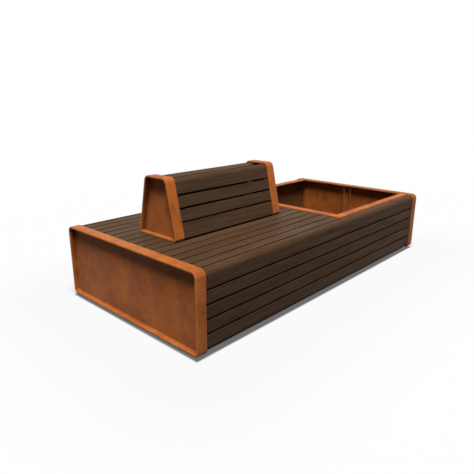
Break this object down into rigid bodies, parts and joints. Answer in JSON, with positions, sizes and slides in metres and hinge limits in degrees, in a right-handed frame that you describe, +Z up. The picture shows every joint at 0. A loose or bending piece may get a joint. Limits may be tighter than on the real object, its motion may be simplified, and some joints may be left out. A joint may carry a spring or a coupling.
{
  "type": "bench with planter",
  "caption": "Low island park bench of stained timber slats between rust-coloured steel end bands, with a sloping double-sided backrest and a deep square planter at one end",
  "frame": {"origin": "on the ground under the middle of the bench", "axes": "X runs along the bench towards the planter, Y runs across it and Z points up"},
  "size_m": [2.4, 1.15, 0.787],
  "materials": {
    "rust_steel": "matte",
    "timber_boards": "satin",
    "timber_formers": "matte",
    "frame_steel": "matte",
    "zinc_hardware": "satin"
  },
  "bodies": {
    "root": {"seat_board_01": "timber_boards", "seat_board_02": "timber_boards", "seat_board_03": "timber_boards", "seat_board_04": "timber_boards", "seat_board_05": "timber_boards", "seat_board_06": "timber_boards", "seat_board_07": "timber_boards", "seat_board_08": "timber_boards", "seat_board_09": "timber_boards", "seat_board_10": "timber_boards", "seat_board_11": "timber_boards", "seat_board_12": "timber_boards", "seat_board_13": "timber_boards", "seat_board_14": "timber_boards", "front_edge_board": "timber_boards", "back_edge_board": "timber_boards", "front_board_1": "timber_boards", "front_board_2": "timber_boards", "front_board_3": "timber_boards", "front_board_4": "timber_boards", "backrest_front_board_1": "timber_boards", "backrest_front_board_2": "timber_boards", "backrest_front_board_3": "timber_boards", "backrest_front_cap_board": "timber_boards", "back_board_1": "timber_boards", "back_board_2": "timber_boards", "back_board_3": "timber_boards", "back_board_4": "timber_boards", "backrest_back_board_1": "timber_boards", "backrest_back_board_2": "timber_boards", "backrest_back_board_3": "timber_boards", "backrest_back_cap_board": "timber_boards", "backrest_left_former": "timber_formers", "backrest_right_former": "timber_formers", "left_end_band": "rust_steel", "right_end_band": "rust_steel", "left_end_panel": "rust_steel", "right_end_panel": "rust_steel", "left_panel_channel": "rust_steel", "right_panel_channel": "rust_steel", "planter_front_wall": "rust_steel", "planter_back_wall": "rust_steel", "planter_seat_wall": "rust_steel", "planter_floor": "rust_steel", "backrest_left_band": "rust_steel", "backrest_right_band": "rust_steel", "backrest_left_panel": "rust_steel", "backrest_right_panel": "rust_steel", "front_base_rail": "frame_steel", "back_base_rail": "frame_steel", "cross_bearer_1": "frame_steel", "cross_bearer_2": "frame_steel", "cross_bearer_3": "frame_steel", "frame_posts": "frame_steel", "cross_ties": "frame_steel", "anchor_brackets": "frame_steel", "levelling_feet": "zinc_hardware"}
  },
  "joints": []
}
